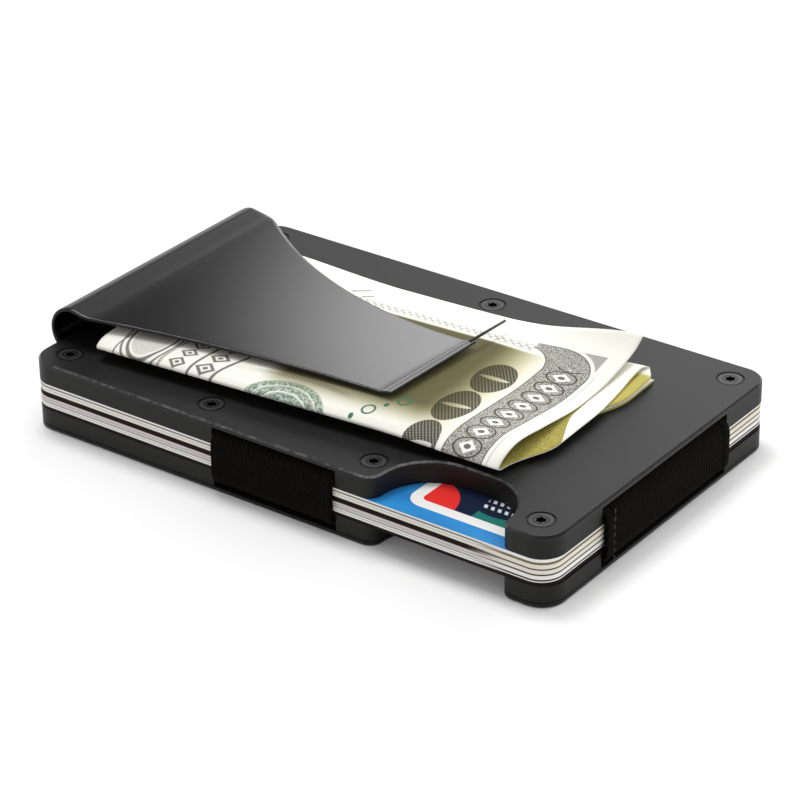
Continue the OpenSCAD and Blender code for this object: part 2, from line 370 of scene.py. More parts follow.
def anodised(name, base, rough):
    """Black anodised, bead-blasted aluminium, with chamfers that are worn bright; painted shade darkens them
    toward the right end.
    """
    paint = Paint(name)
    x, y, z = paint.place()
    nz = abs(paint.facing()[2])
    chamfer = nz.band(0.74, 0.16, 0.03)
    blast = paint.noise(x, y, z, size=0.14, detail=3, rough=0.6)
    cloud = paint.noise(x, y, z, size=11, detail=3)
    specks = 1 - paint.spots(x, y, z, size=0.9).step(0.05, 0.13)
    wear = paint.noise(x, y, z, size=0.9, detail=4, rough=0.7).step(0.35, 0.7)
    # Painted shade: toward the right end the bright wear on the chamfers fades and the chamfers go near black.
    wear = wear * (1 - x.step(25, 42.5) * 0.95)
    tone = blast * 0.6 + cloud * 0.4
    body = paint.mix(tone.step(0.3, 0.7), scaled(base, 0.7), scaled(base, 1.3))
    body = paint.mix(specks * 0.25, body, scaled(base, 3))
    chamfer_shade_to_right = paint.mix(x.step(36, 42.5), grey(0.06), grey(0.005))
    cut = paint.mix(wear, chamfer_shade_to_right, grey(0.2))
    paint.set(Base_Color=paint.mix(chamfer, body, cut), Metallic=chamfer * 0.7)
    paint.set(Roughness=rough + (blast - 0.5) * 0.16 + (cloud - 0.5) * 0.08 - chamfer * 0.1)
    paint.set(Specular_IOR_Level=0.25)
    paint.bump(blast, 0.010)
    return paint


def screw_steel(name):
    """Black-oxide steel: a turned head with a dark ring; its rim and socket are near black as painted shade.
    """
    paint = Paint(name + "_steel")
    x, y, z = paint.place()
    low, high = (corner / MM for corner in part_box(name))
    out = ((x - (low.x + high.x) / 2) ** 2 + (y - (low.y + high.y) / 2) ** 2) ** 0.5
    marks = paint.noise(x, y, z, size=0.12, detail=4)
    turned = (out + marks * 0.05).wave(0.11)
    radius = (high.x - low.x) / 2
    # Painted shade: all but the flat top of the head, and the socket, go near black.
    flat = abs(paint.facing()[2]).step(0.9, 0.97) * out.below(radius - 0.16, 0.05)
    socket = out.below(radius * 0.36, 0.05) * (1 - marks.step(0.56, 0.66) * 0.5)
    ring = out.band(radius * 0.56, 0.24, 0.06).either(socket)
    face = paint.mix(marks * 0.7 + turned * 0.3, grey(0.03), grey(0.075))
    paint.set(Base_Color=paint.mix(flat * (1 - ring), grey(0.004), face), Metallic=0.75)
    paint.set(Roughness=0.34 + marks * 0.2)
    paint.bump(marks * 0.6 + turned * 0.4, 0.01)
    return paint


def woven_elastic():
    """Black elastic: ribs along the band, crossed by short slanted threads."""
    paint = Paint("elastic")
    along, across = paint.surface()
    drift = paint.noise(along, across, size=1.6)
    thread = (across + along * 0.28 + drift * 0.5).wave(0.36)
    broken = paint.noise(along * 0.45, across * 1.6, size=0.5, detail=3, rough=0.6)
    rib = across.wave(RIB_PITCH)
    fuzz = paint.noise(along, across, size=0.12, detail=4, rough=0.7)
    relief = thread * 0.35 + rib * 0.15 + broken * 0.3 + fuzz * 0.2
    gap, fibre = (0.0012, 0.001, 0.0008), (0.009, 0.008, 0.0065)
    paint.set(Base_Color=paint.mix(relief.step(0.35, 0.75), gap, fibre))
    paint.set(Roughness=0.9, Specular_IOR_Level=0.04)
    paint.bump(relief, 0.12)
    return paint


def stitch_thread():
    """Grey twisted thread."""
    paint = Paint("stitch_thread")
    along, across = paint.surface()
    twist = (along + across * 2).wave(0.16)
    paint.set(Base_Color=paint.mix(twist, (0.010, 0.009, 0.008), (0.05, 0.044, 0.04)), Roughness=0.7)
    paint.bump(twist, 0.03)
    return paint


def spring_steel():
    """Smooth black-coated spring steel, faintly brushed across, and duller over the clip's bend, which is also
    darker as painted shade; its cut edges are painted near black as shade.
    """
    paint = Paint("clip_steel")
    along, across = paint.surface()
    brushed = paint.noise(along * 4, across * 0.35, size=0.5, detail=4, rough=0.6)
    cloud = paint.noise(along, across, size=14, detail=2)
    cut_edge_shade = paint.cut_edge_shade()
    # Painted shade: the bend and shoulder are darker, which keeps their reflections dim.
    bend = 1 - paint.place()[0].step(-40, -33)
    coat_with_bend_shade = paint.mix(bend, paint.mix(cloud, grey(0.143), grey(0.163)), grey(0.085))
    # Painted shade: the cut edges are near black and not metallic.
    paint.set(Base_Color=paint.mix(cut_edge_shade, coat_with_bend_shade, grey(0.006)), Metallic=1 - cut_edge_shade)
    paint.set(Specular_Tint=grey(0.6))
    paint.set(Roughness=0.11 + bend * 0.17 + cloud * 0.02 + brushed * 0.02 + cut_edge_shade * 0.35)
    paint.bump(brushed, 0.0012)
    return paint


def layered(paint, height, ground, *layers):
    """Colours up a card's cut edge: (from, to, colour) layers over a ground, with height 0 at the bottom."""
    for low, high, colour in layers:
        ground = paint.mix(height.band((low + high) / 2, high - low, 0.06), ground, colour)
    return ground


def card_plastic(name, face, core_and_gap_shade, right_core_and_gap_shade):
    """Laminated card: a face with print, and cut edges that show the layers inside it and painted shade where
    the cards meet, which may differ at the right end.
    """
    paint = Paint(name)
    x, y, z = paint.place()
    low, high = (corner.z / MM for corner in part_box(name))
    height = (z - low) / (high - low)
    side = abs(paint.facing()[2]).below(0.5)
    wear = paint.noise(x, y, z, size=0.6, detail=4, rough=0.7)
    edge = paint.mix(x.step(30, 37), layered(paint, height, *core_and_gap_shade), layered(paint, height, *right_core_and_gap_shade))
    # Painted shade along the top and bottom of each cut edge, where the cards meet.
    edge = paint.mix(abs(height - 0.5).above(0.46, 0.03) * 0.35, edge, (0.02, 0.018, 0.016))
    if callable(face):
        top = face(paint, x, y)
    else:
        top = paint.mix(wear.step(0.3, 0.8), face, scaled(face, 0.9))
    paint.set(Base_Color=paint.mix(side, top, edge), Roughness=0.3 + side * 0.25 + wear * 0.06)
    paint.set(Specular_IOR_Level=0.1)
    paint.bump(wear * side, 0.008)
    return paint


def card_face(paint, x, y):
    """A made-up design: blue, with a white rounded frame round a red disc, a teal wave and small dashes."""
    middle, half, corner, border = (30.7, -14.7), (12.0, 9.8), 2.6, 1.7
    navy, red, teal = (0.010, 0.018, 0.045), (0.80, 0.035, 0.030), (0.02, 0.19, 0.165)
    cream, white = (0.75, 0.78, 0.74), (0.86, 0.85, 0.82)
    dx = (abs(x - middle[0]) - (half[0] - corner)).either(0.0)
    dy = (abs(y - middle[1]) - (half[1] - corner)).either(0.0)
    to_edge = (dx**2 + dy**2) ** 0.5 - corner
    frame_share = to_edge.below(0, 0.03)
    inside = to_edge.below(-border, 0.03)
    waves = (y + x.wave(34) * 5).wave(6.5)
    blue = paint.mix(waves, (0.022, 0.20, 0.52), (0.03, 0.26, 0.62))
    picture = paint.mix(oval(x, y, (19.6, -23.6), (6.0, 6.4)).below(1, 0.01), navy, red)
    wave = (y - x.wave(11) * 1.1).below(-21.4, 0.04) * x.above(28.2, 0.05)
    picture = paint.mix(wave, picture, teal)
    rows = y.band(-19.6, 0.75, 0.05).either(y.band(-18.1, 0.75, 0.05))
    dashes = (x + y * 0.4).cell(1.05).band(0, 0.5, 0.05) * rows
    picture = paint.mix(dashes * x.band(30.4, 5.0, 0.1), picture, cream)
    return paint.mix(inside, paint.mix(frame_share, blue, white), picture)


WHITE_CORE, CREAM_CORE, PINK_CORE = (0.86, 0.85, 0.82), (0.80, 0.76, 0.66), (0.66, 0.62, 0.60)
# The black below also stands for painted shade in the gaps between and under the cards, and the rust brown and
# the olive are painted shade in the gaps at the right end.
BLACK_CARD_AND_GAP_SHADE, RED_CORE, BROWN_CORE = (0.008, 0.004, 0.003), (0.10, 0.012, 0.02), (0.2, 0.17, 0.12)
OLIVE_GAP_SHADE, GAP_SHADE_BROWN, GREY_CORE = (0.2, 0.155, 0.07), (0.035, 0.022, 0.015), (0.3, 0.28, 0.26)

# Each card's face, its cut edge, and its cut edge at the right end: a ground colour and (from, to, colour)
# layers, where the card's height is 1. The black low on the second and fifth edges, the dark and olive layers
# at the right end, and the fifth card's black face are painted shade between and under the cards; the third
# card is black.
CARDS = {
    "card_1": (card_face, (WHITE_CORE, (0.36, 0.66, BROWN_CORE)), (WHITE_CORE, (-0.1, 0.42, OLIVE_GAP_SHADE))),
    "card_2": (CREAM_CORE, (CREAM_CORE, (-0.1, 0.46, BLACK_CARD_AND_GAP_SHADE)), (CREAM_CORE, (-0.1, 0.2, GAP_SHADE_BROWN))),
    "card_3": (BLACK_CARD_AND_GAP_SHADE, (PINK_CORE, (0.52, 1.1, BLACK_CARD_AND_GAP_SHADE), (0.5, 0.62, RED_CORE)),
               (CREAM_CORE, (-0.1, 0.24, GAP_SHADE_BROWN))),
    "card_4": (PINK_CORE, (PINK_CORE, (0.38, 0.56, GREY_CORE), (-0.1, 0.3, WHITE_CORE)),
               (WHITE_CORE, (-0.1, 0.26, GAP_SHADE_BROWN))),
    "card_5": (BLACK_CARD_AND_GAP_SHADE, (WHITE_CORE, (-0.1, 0.62, BLACK_CARD_AND_GAP_SHADE)), (BLACK_CARD_AND_GAP_SHADE, (0.78, 1.1, WHITE_CORE))),
}


def paint_cad_nodes(nodes):
    """Gives the covers, frames, screws and cards their materials."""
    cover = anodised("cover_metal", (0.008, 0.008, 0.0083), 0.46)
    # The frames' side walls get a darker, browner copy of the covers' anodising, as painted shade.
    shaded_rail = anodised("frame_metal", (0.006, 0.0057, 0.005), 0.5)
    for name, node in nodes.items():
        if name.endswith("_cover"):
            cover.give(node)
        elif name.endswith("_frame"):
            shaded_rail.give(node)
        elif "screw" in name:
            screw_steel(name).give(node)
    for name, looks in CARDS.items():
        card_plastic(name, *looks).give(nodes[name])


NOTE_PAPER = (0.93, 0.92, 0.84)
# The yellow and olive colours below are print that also holds painted shade: the clip's shadow beside its tip,
# and the shade inside the folds.
YELLOW_TINT_AND_SHADE = (0.66, 0.60, 0.27)
OLIVE_PRINT_AND_FOLD_SHADE = (0.50, 0.44, 0.11)
DARK_INK = (0.075, 0.073, 0.055)
OLIVE_DARK_INK = (0.03, 0.027, 0.008)
OLIVE_INK_AND_CLIP_SHADOW = (0.082, 0.073, 0.026)
GREEN_INK = (0.03, 0.145, 0.075)
REVERSE_INK_AND_FOLD_SHADE = (0.24, 0.205, 0.035)

# The scroll band's sides along the note, and where across it the band turns in
SCROLL_FROM, SCROLL_TO, SCROLL_TURN = 57.1, 63.4, 26.0


def scroll_band(paint, u, v):
    """A dark band of fine curls along one end, which turns in at its top, with pale lens ornaments."""
    past = (v - SCROLL_TURN).either(0.0)
    outer_from, inner_from, top_from = 56.6, 52.8, 53.9
    outer = oval((u - outer_from).either(0.0), past, (0, 0), (SCROLL_TO - outer_from, 6.7))
    inner = oval((u - inner_from).either(0.0), past, (0, 0), (SCROLL_FROM - inner_from, 5.4))
    band = outer.below(1, 0.01) * inner.above(1, 0.01) * u.above(top_from, 0.2)
    curls = (paint.noise(u, v, size=0.8, detail=1) * 7).wave(1.0)
    middle = (SCROLL_FROM + SCROLL_TO) / 2 + 0.1
    pitch = 3.4
    cell = v.cell(pitch) * pitch
    straight = v.below(28, 0.1)
    lens = (abs(u - middle) / 1.7 + abs(cell) / 1.45).below(0.8, 0.05) * straight
    ring = oval(u, cell, (middle, 0), (2.0, 1.6)).band(1.0, 0.16, 0.03) * straight
    pit = oval(u, cell, (middle, 0), (0.5, 0.42)).below(1, 0.1) * straight
    edges = outer.band(0.99, 0.03, 0.008).either(inner.band(1.03, 0.04, 0.012)) * u.above(top_from, 0.2)
    fill = band * (0.42 + curls * 0.5)
    share = (fill * (1 - lens)).either(lens * pit * 0.9).either(ring * band).either(edges * 0.9)
    corner = outer.above(1.08, 0.01) * u.below(SCROLL_TO, 0.05) * v.below(32.4, 0.05)
    corner = corner * v.above(SCROLL_TURN, 0.2)
    hatch = corner * (0.45 + (u + v).wave(0.4) * 0.3) * u.above(57, 0.1)
    thin_line = outer.band(1.1, 0.016, 0.006) * v.below(SCROLL_TURN + 2, 0.3)
    return share.either(hatch).either(thin_line * 0.5)


def medallion(u, v, middle, at):
    """A hatched oval with a pale leaf across it."""
    size = oval(u, v, (middle, at), (2.6, 4.75))
    leaf = oval(u, v - (u - middle) * 0.2, (middle, at), (2.0, 0.5)).below(1, 0.08)
    hatch = (u * 0.8 + v * 0.5).wave(0.42) * 0.3 + (v - u * 0.4).wave(0.3) * 0.25
    return size.below(1, 0.02) * (0.6 + hatch) * (1 - leaf * 0.8)


def lace(u, v, at):
    """A border of two rows of small loops."""
    pitch = 1.2
    rows = [oval((u + shift).cell(pitch) * pitch, v, (0, at + rise), (0.5, 0.45)).band(1, 0.34, 0.1)
            for shift, rise in ((0.0, 0.35), (pitch / 2, -0.35))]
    return rows[0].either(rows[1]) * u.above(24, 0.3) * u.below(54.2, 0.2)


def end_frame(u, v):
    """The other end's oval frame and slanted rows of ornament."""
    oval_size = oval(u, v, (6.9, 5.4), (3.3, 5.6))
    share = oval_size.band(1.0, 0.12, 0.03).either(oval_size.band(1.24, 0.09, 0.03))
    hatch = 0.22 + (u + v).wave(0.5) * 0.25
    share = share.either(oval_size.below(0.86, 0.03) * hatch).either((u - v * 0.1).band(2.9, 0.25))
    column = u - v * 0.16
    share = share.either(column.band(10.6, 0.5, 0.12) * (0.5 + v.wave(0.5) * 0.3))
    share = share.either(column.band(15.6, 0.45)).either((u - v * 0.32).band(19.6, 0.5))
    for middle, pitch, size in ((13.1, 2.5, 1.15), (17.7, 3.0, 1.35)):
        inside = (abs(column - middle) / (size * 1.25) + abs(v.cell(pitch) * pitch) / size)
        share = share.either(inside.band(0.8, 0.42, 0.07)).either(inside.below(0.3, 0.08))
    return share * u.below(22.4, 0.2)


def seal(paint, u, v):
    """A round seal with a serrated rim and pale rings, and a slanted row of dots and small rings."""
    fine = paint.noise(u, v, size=0.5, detail=3, rough=0.7)
    size = oval(u, v, (31.9, -3.6), (7.5, 7.5)) + (fine - 0.5) * 0.1
    rings = size.band(0.84, 0.025, 0.012).either(size.band(0.66, 0.03, 0.012))
    share = size.below(1, 0.02) * (1 - rings) * (0.35 + fine.step(0.35, 0.65) * 0.6)
    for k in range(4):
        at = (42.5 + 1.6 * k, 0.7 + 2.0 * k)
        if k % 2:
            mark = oval(u, v, at, (0.85, 1.0)).band(1, 0.36, 0.08)
        else:
            mark = oval(u, v, at, (0.35, 0.5)).below(1, 0.15)
        share = share.either(mark)
    return share


def note_front():
    """Cotton paper bearing a generic banknote's ornament in print: no lettering, figures or portrait.
    The olive field beside the clip's tip is print that carries the clip's painted shadow, fading away from
    the tip; past the far fold the olive is painted shade inside the fold.
    """
    paint = Paint("note_paper")
    u, v = paint.surface()
    fibre = paint.noise(u, v, size=0.35, detail=5, rough=0.7)
    # Painted shadow of the clip's tip, laid into the olive print field beside it: darkest near the tip, fading
    # to the right, with a yellow tint that fades further out.
    shadow_and_print_field = u.step(25, 29) * v.step(0.5, 8.0) * (1 - v.step(29.0, 29.8))
    shade, warm = (1 - u.step(49.5, 57)) * shadow_and_print_field, (1 - u.step(51, 59)) * shadow_and_print_field
    rise = ((u - 31.9) ** 2) / 70
    ends = u.step(23, 27) * (1 - u.step(38, 41.5))
    hatched_arc = (v + rise).band(5.2, 1.0, 0.3) * u.wave(0.5) * ends * 0.55
    slanted = v - u * 0.8
    bars = (slanted.band(14.6, 0.5) * u.band(23.8, 2.4)).either(slanted.band(12.0, 0.5) * u.band(25.7, 1.5))
    dark = scroll_band(paint, u, v).either(lace(u, v, 31.0) * 0.6).either(hatched_arc).either(bars * 0.7)
    dark = dark.either(end_frame(u, v) * v.above(-6, 0.2) * v.below(31, 0.2) * 0.85)
    for at in (19.4, 9.6, -0.2):
        dark = dark.either(medallion(u, v, 53.6, at))
    paper = paint.mix(fibre.step(0.3, 0.7), scaled(NOTE_PAPER, 0.95), NOTE_PAPER)
    print_and_shade = paint.mix(shade * 0.95, paint.mix(warm * 0.9, paper, YELLOW_TINT_AND_SHADE), OLIVE_INK_AND_CLIP_SHADOW)
    # Past the far fold the front is olive: painted shade inside that fold, drawn as an olive print.
    print_and_shade = paint.mix(v.below(-36, 0.5), print_and_shade, OLIVE_PRINT_AND_FOLD_SHADE)
    # The engraving turns olive-dark inside the painted shadow and over the medallions.
    darker = shade.either(u.band(53.6, 5.6, 0.1) * v.below(25, 0.2))
    engraving = paint.mix(darker, DARK_INK, OLIVE_DARK_INK)
    print_and_shade = paint.mix(dark, print_and_shade, engraving)
    paint.set(Base_Color=paint.mix(seal(paint, u, v) * 0.95, print_and_shade, GREEN_INK))
    paint.set(Roughness=0.75, Specular_IOR_Level=0.2)
    paint.bump(fibre, 0.02)
    return paint


def note_reverse():
    """The paper's other side: an olive engraving inside a white margin. Its olive is print and also painted
    shade for the insides of the folds.
    """
    paint = Paint("note_paper_reverse")
    u, v = paint.surface()
    fibre = paint.noise(u, v, size=0.35, detail=5, rough=0.7)
    margin = v.step(-19, -7) * 3.4
    olive_and_fold_shade_area = (u - margin).band(32.2, 62.4, 0.05)
    fine = (paint.noise(u, v, size=1.6, detail=1) * 9).wave(1.0) * 0.5 + (u + v * 0.3).wave(0.45) * 0.5
    ink = paint.mix(fine, REVERSE_INK_AND_FOLD_SHADE, OLIVE_PRINT_AND_FOLD_SHADE)
    paint.set(Base_Color=paint.mix(olive_and_fold_shade_area, scaled(NOTE_PAPER, 0.97), ink))
    paint.set(Roughness=0.75, Specular_IOR_Level=0.2)
    paint.bump(fibre, 0.02)
    return paint


# Elastic bands

# A band's thickness, the radius of its turns round the plates, the pitch of its ribs, how wide its selvedge
# is, and how far a seam is from its edge
BAND_T = 0.8
BAND_TURN = 2.2
RIB_PITCH = 0.62
SELVEDGE = 1.3
SEAM = SELVEDGE + 0.35


def band_cross_section(width, stitched):
    """The closed outline of a band's section: (place across, depth) pairs, outer face first."""
    half, thick, end_w, end_round = width / 2, BAND_T, 0.25, 0.3
    rib_height, groove_depth, groove_w = 0.035, 0.10, 0.16
    w = np.arange(-half + end_w, half - end_w + 0.0001, RIB_PITCH / 6)
    ribs = rib_height * (1 - np.cos(2 * math.pi * w / RIB_PITCH)) / 2
    to_edge = half - np.abs(w)
    hem = 1 - smoothstep((to_edge - SELVEDGE) / 0.35)
    depth = np.where(hem > 0, 0.01 + 0.10 * (1 - hem), 0.11) + ribs * (1 - hem) - 0.02
    if stitched:
        groove = np.exp(-(((w + half - SEAM) / groove_w) ** 2))
        depth = depth + groove_depth * groove
    outer = np.stack([w, thick / 2 - depth], 1)
    edge = arc((half - end_round, 0), thick / 2 - 0.03, 75, -75, 0.12)
    edge[:, 0] = half - end_w + (edge[:, 0] - (half - end_round)) / (thick / 2) * 0.24
    inner = np.stack([np.linspace(half - end_round, -half + end_round, 14), np.full(14, -thick / 2 + 0.02)], 1)
    return np.vstack([outer, edge, inner, edge[::-1] * [-1, 1]])


def band_mesh(name, path, normals, section, place, closed, inner_extra=None):
    """Sweeps a band's section along a plane path. place(plane points, across) gives points of the frame."""
    rows, columns = len(path), len(section)
    vertices, uvs = [], []
    for i, s in enumerate(lengths(path)):
        depth = section[:, 1].copy()
        if inner_extra is not None:
            depth = np.where(depth < 0, depth - inner_extra[i], depth)
        plane = path[i] + depth[:, None] * normals[i]
        vertices.append(place(plane, section[:, 0]))
        uvs += [(s, w) for w in section[:, 0]]
    faces = tube_faces(rows, columns, closed)
    if not closed:
        faces.append(tuple(range(columns))[::-1])
        faces.append(tuple(range((rows - 1) * columns, rows * columns)))
    piece = new_object(name, np.vstack(vertices), faces, uvs)
    fix_normals(piece)
    return piece


def stretch_with_halves(piece, material):
    """Gives a band its material and bakes its place into its mesh."""
    material.give(piece)
    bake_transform(piece)


def cut_eyelet(piece, x, y, radius):
    """Cuts the round hole that a screw passes through."""
    hole = bpy.data.meshes.new("hole")
    shape = bmesh.new()
    bmesh.ops.create_cone(shape, cap_ends=True, segments=32, radius1=radius * MM, radius2=radius * MM,
                          depth=2 * TOP * MM, matrix=Matrix.Translation((x * MM, y * MM, TOP / 2 * MM)))
    shape.to_mesh(hole)
    shape.free()
    cutter = bpy.data.objects.new("hole", hole)
    bpy.context.scene.collection.objects.link(cutter)
    cut = piece.modifiers.new("eyelet", "BOOLEAN")
    cut.object, cut.operation, cut.solver = cutter, "DIFFERENCE", "EXACT"
    settle(piece)
    bpy.data.objects.remove(cutter)


def cross_band(material):
    """The elastic loop round the long sides, with an eyelet round the far middle screw."""
    low, high = (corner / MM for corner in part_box("cross_band"))
    reach, rise = high.y - BAND_T / 2 - BAND_TURN, (high.z - low.z - BAND_T) / 2 - BAND_TURN
    middle, x0 = (low.z + high.z) / 2, (low.x + high.x) / 2
    corners = [((reach, rise), 90, 0), ((reach, -rise), 0, -90), ((-reach, -rise), -90, -180),
               ((-reach, rise), 180, 90)]
    path = np.vstack([arc(c, BAND_TURN, a, b, 0.3) for c, a, b in corners])
    path = evenly(np.vstack([path, path[:1]]), 0.4)[:-1] + [0, middle]
    section = band_cross_section(high.x - low.x, False)

    def place(plane, across):
        return np.stack([x0 + across, plane[:, 0], plane[:, 1]], 1)

    piece = band_mesh("cross_band_elastic", path, left_normals(path, True), section, place, True)
    screw, eyelet_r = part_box("upper_screw_6"), 1.35
    cut_eyelet(piece, 0.0, (screw[0].y + screw[1].y) / 2 / MM, eyelet_r)
    stretch_with_halves(piece, material)
    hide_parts("cross_band")


def end_band(material):
    """The elastic round the right end, with a thicker hem at each of its hidden tails."""
    low, high = (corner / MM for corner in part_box("end_band"))
    hem, hem_length = 0.6, 1.8
    reach, rise = high.x - BAND_T / 2 - BAND_TURN, (high.z - low.z - BAND_T) / 2 - BAND_TURN
    middle = (low.z + high.z) / 2
    upper, lower = middle + rise, middle - rise
    path = np.vstack([[(low.x + 0.05, upper + BAND_TURN)], arc((reach, upper), BAND_TURN, 90, 0, 0.3),
                      arc((reach, lower), BAND_TURN, 0, -90, 0.3), [(low.x + 0.05, lower - BAND_TURN)]])
    path = evenly(path, 0.25)
    s = lengths(path)
    to_end = np.minimum(s, s[-1] - s)
    section = band_cross_section(high.y - low.y, True)

    def place(plane, across):
        return np.stack([plane[:, 0], across, plane[:, 1]], 1)

    normals = left_normals(path)
    piece = band_mesh("end_band_elastic", path, normals, section, place, False,
                      hem * (1 - smoothstep((to_end - hem_length + 0.4) / 0.3)))
    stretch_with_halves(piece, material)
    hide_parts("end_band")

    end_band_stitches(high.x - 0.09, -(high.y - low.y) / 2 + SEAM, middle)


def end_band_stitches(x, y, middle):
    """The upright row of stitches beside the end band's near selvedge."""
    count, pitch, rings, ring = 7, 1.12, 7, 8
    vertices, faces = [], []
    for k in range(count):
        centre = np.array([x, y, middle + (k - (count - 1) / 2) * pitch])
        base = len(vertices)
        for t in np.linspace(-1, 1, rings):
            radius = 0.11 * math.sqrt(max(0.05, 1 - t**4))
            for a in np.linspace(0, 2 * math.pi, ring, endpoint=False):
                offset = (radius * math.cos(a) - 0.07 * t * t, radius * math.sin(a), 0.42 * t)
                vertices.append(centre + offset)
        first, last = range(base, base + ring), range(base + (rings - 1) * ring, base + rings * ring)
        faces += [tuple(base + i for i in f) for f in tube_faces(rings, ring, False)]
        faces += [tuple(first)[::-1], tuple(last)]
    piece = new_object("end_band_stitches", vertices, faces, [(v[2], v[1]) for v in vertices])
    stretch_with_halves(piece, stitch_thread())


# Money clip

STEEL_T = 0.5


def prism_faces(sides):
    """The faces of a prism whose base corners come before its top corners."""
    walls = [(k, (k + 1) % sides, sides + (k + 1) % sides, sides + k) for k in range(sides)]
    return walls + [tuple(range(sides))[::-1], tuple(range(sides, 2 * sides))]


def clip_profile():
    """The middle line of the clip's sheet, in X and Z, from the tang's inner end to the lip.

    Also gives the X where its bend ends and the blade starts."""
    tang_low, tang_high = (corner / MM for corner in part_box("clip_tang"))
    blade_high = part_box("clip_blade")[1] / MM
    slope, lip_length, lip_rise = 0.95, 1.9, 14
    root_r, root_turn = 0.65, 218
    tang_z = tang_low.z + STEEL_T / 2
    root = np.array([COVER_LOW.x - 0.05, tang_z + root_r])
    turn = math.radians(root_turn)
    rise = -math.sin(turn)
    bend_r = (blade_high.z - STEEL_T / 2 - root[1] + rise * root_r) / (1 + rise)
    bend = root - (bend_r - root_r) * np.array([math.cos(turn), math.sin(turn)])
    tang = np.stack([np.linspace(tang_high.x, root[0], 12), np.full(12, tang_z)], 1)
    top = arc(bend, bend_r, root_turn, 90 - slope, 0.3)
    run = np.array([math.cos(math.radians(slope)), -math.sin(math.radians(slope))])
    along = np.arange(0.4, blade_high.x - lip_length - top[-1, 0] + 0.01, 0.5)
    blade = top[-1] + along[:, None] * run
    lip_steps = np.linspace(0.15, lip_length, 11)[:, None]
    lip_turn = math.radians(lip_rise - slope) * smoothstep(lip_steps / 0.6)
    lip = blade[-1] + lip_steps * np.hstack([np.cos(lip_turn), np.sin(lip_turn)])
    path = np.vstack([tang[:-1], arc(root, root_r, 270, root_turn, 0.12)[:-1], top, blade, lip])
    return path, top[-1, 0]


def shoulder_drop(past_bend, share):
    """How far the blade steps down past its bend: all at once at the near edge, where share is 0."""
    depth, length, slow_length = 0.564, 4.6, 50
    step = smoothstep((past_bend + 1.0) / length) - smoothstep(1.0 / length)
    slow = 0.38 * share
    drop = depth * ((1 - slow) * step + slow * np.clip(past_bend / slow_length, 0, 1))
    return np.where(past_bend > 0, drop, 0.0)


def clip_edges(x, half_width):
    """The near and far edges of the blade at each X: straight, then hollowed by two arcs."""
    near_x, near_y, near_r = 18.1, -232.9, 220.0
    far_x, far_y, far_r, far_round = 3.0, 65.2, 60.0, 1.3
    near = near_y + np.sqrt(np.maximum(near_r**2 - (x - near_x) ** 2, 0))
    far = far_y - np.sqrt(np.maximum(far_r**2 - (x - far_x) ** 2, 0))
    near = np.where(x > -38.5, np.maximum(near, -half_width), -half_width)
    rounded = (far + half_width - np.sqrt((far - half_width) ** 2 + far_round**2)) / 2
    return near, np.where(x > -41, rounded, half_width)


def money_clip(material):
    """One bent sheet: tang, bend, shoulder, hollowed blade and a thinner lip with a slanted end."""
    half_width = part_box("clip_blade")[1].y / MM
    path, bend_x = clip_profile()
    s = lengths(path)
    normals = left_normals(path)
    on_blade = s >= s[np.argmax(path[:, 1])]
    near, far = clip_edges(np.where(on_blade, path[:, 0], -60.0), half_width)
    rows, columns = len(path), 61
    across = np.linspace(0, 1, columns)
    vertices, uvs = [], []
    for side in (0.5, -0.5):
        for i in range(rows):
            y = near[i] + (far[i] - near[i]) * across
            thick = STEEL_T * (1 - 0.4 * smoothstep((path[i, 0] - path[-1, 0] + 2.4) / 2.2))
            p = path[i] - side * thick * normals[i]
            drop = shoulder_drop(path[i, 0] - bend_x, across) * float(on_blade[i])
            slant = (0.037 * (y + half_width) - 1.2) * smoothstep(np.full(columns, p[0] / 9.7))
            vertices += [(p[0] + a, v, p[1] - d) for a, v, d in zip(slant, y, drop)]
            uvs += [(s[i], v) for v in y]
    sheet = rows * columns
    faces = sheet_faces(rows, columns) + sheet_faces(rows, columns, sheet, True)
    surface_count = len(faces)
    near_rim = list(range(0, sheet, columns))
    far_rim = list(range(columns - 1, sheet, columns))
    tang_end, lip_end = list(range(columns)), list(range(sheet - columns, sheet))
    for line, flip in ((near_rim, False), (far_rim, True), (tang_end, True), (lip_end, False)):
        for a, b in zip(line, line[1:]):
            quad = (a, b, b + sheet, a + sheet)
            faces.append(quad[::-1] if flip else quad)
    piece = new_object("money_clip_sheet", vertices, faces, uvs)
    fix_normals(piece)
    mark_cut_edge(piece, surface_count)
    soften(piece, 0.09)
    material.give(piece)
    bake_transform(piece)
    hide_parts("clip_tang", "clip_blade")
    clip_spur(material, path[-1])


def mark_cut_edge(piece, first):
    """Marks the faces from this one on as the sheet's cut edge, which the clip's material paints near black as
    shade.
    """
    cut = piece.data.attributes.new("cut_edge", "FLOAT", "FACE")
    cut.data.foreach_set("value", [float(i >= first) for i in range(len(piece.data.polygons))])


def clip_spur(material, lip_end):
    """The thin finger that carries the tip's edge on past its far corner."""
    x, z = lip_end
    from_y, to_y = 4.4, 12.3
    plan = [(x - 0.72, from_y), (x - 0.32, from_y), (x, to_y), (x - 0.28, to_y)]
    low, high = z - 0.45 * STEEL_T, z + 0.15 * STEEL_T
    vertices = [(a, b, height) for height in (low, high) for a, b in plan]
    piece = new_object("money_clip_spur", vertices, prism_faces(4))
    fix_normals(piece)
    mark_cut_edge(piece, 0)
    soften(piece, 0.06)
    material.give(piece)
    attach(piece, "money_clip")


# Banknote

# The near fold's ends in X, where it starts in Y, and how much it turns away from X
NOTE_LEFT, NOTE_RIGHT = -34.7, 28.6
NOTE_NEAR, NOTE_SLOPE = -22.0, 0.0755
NOTE_WIDE, NOTE_LONG = 66.0, 156.0
CLIP_TIP_X = 9.5
PAPER_T = 0.11

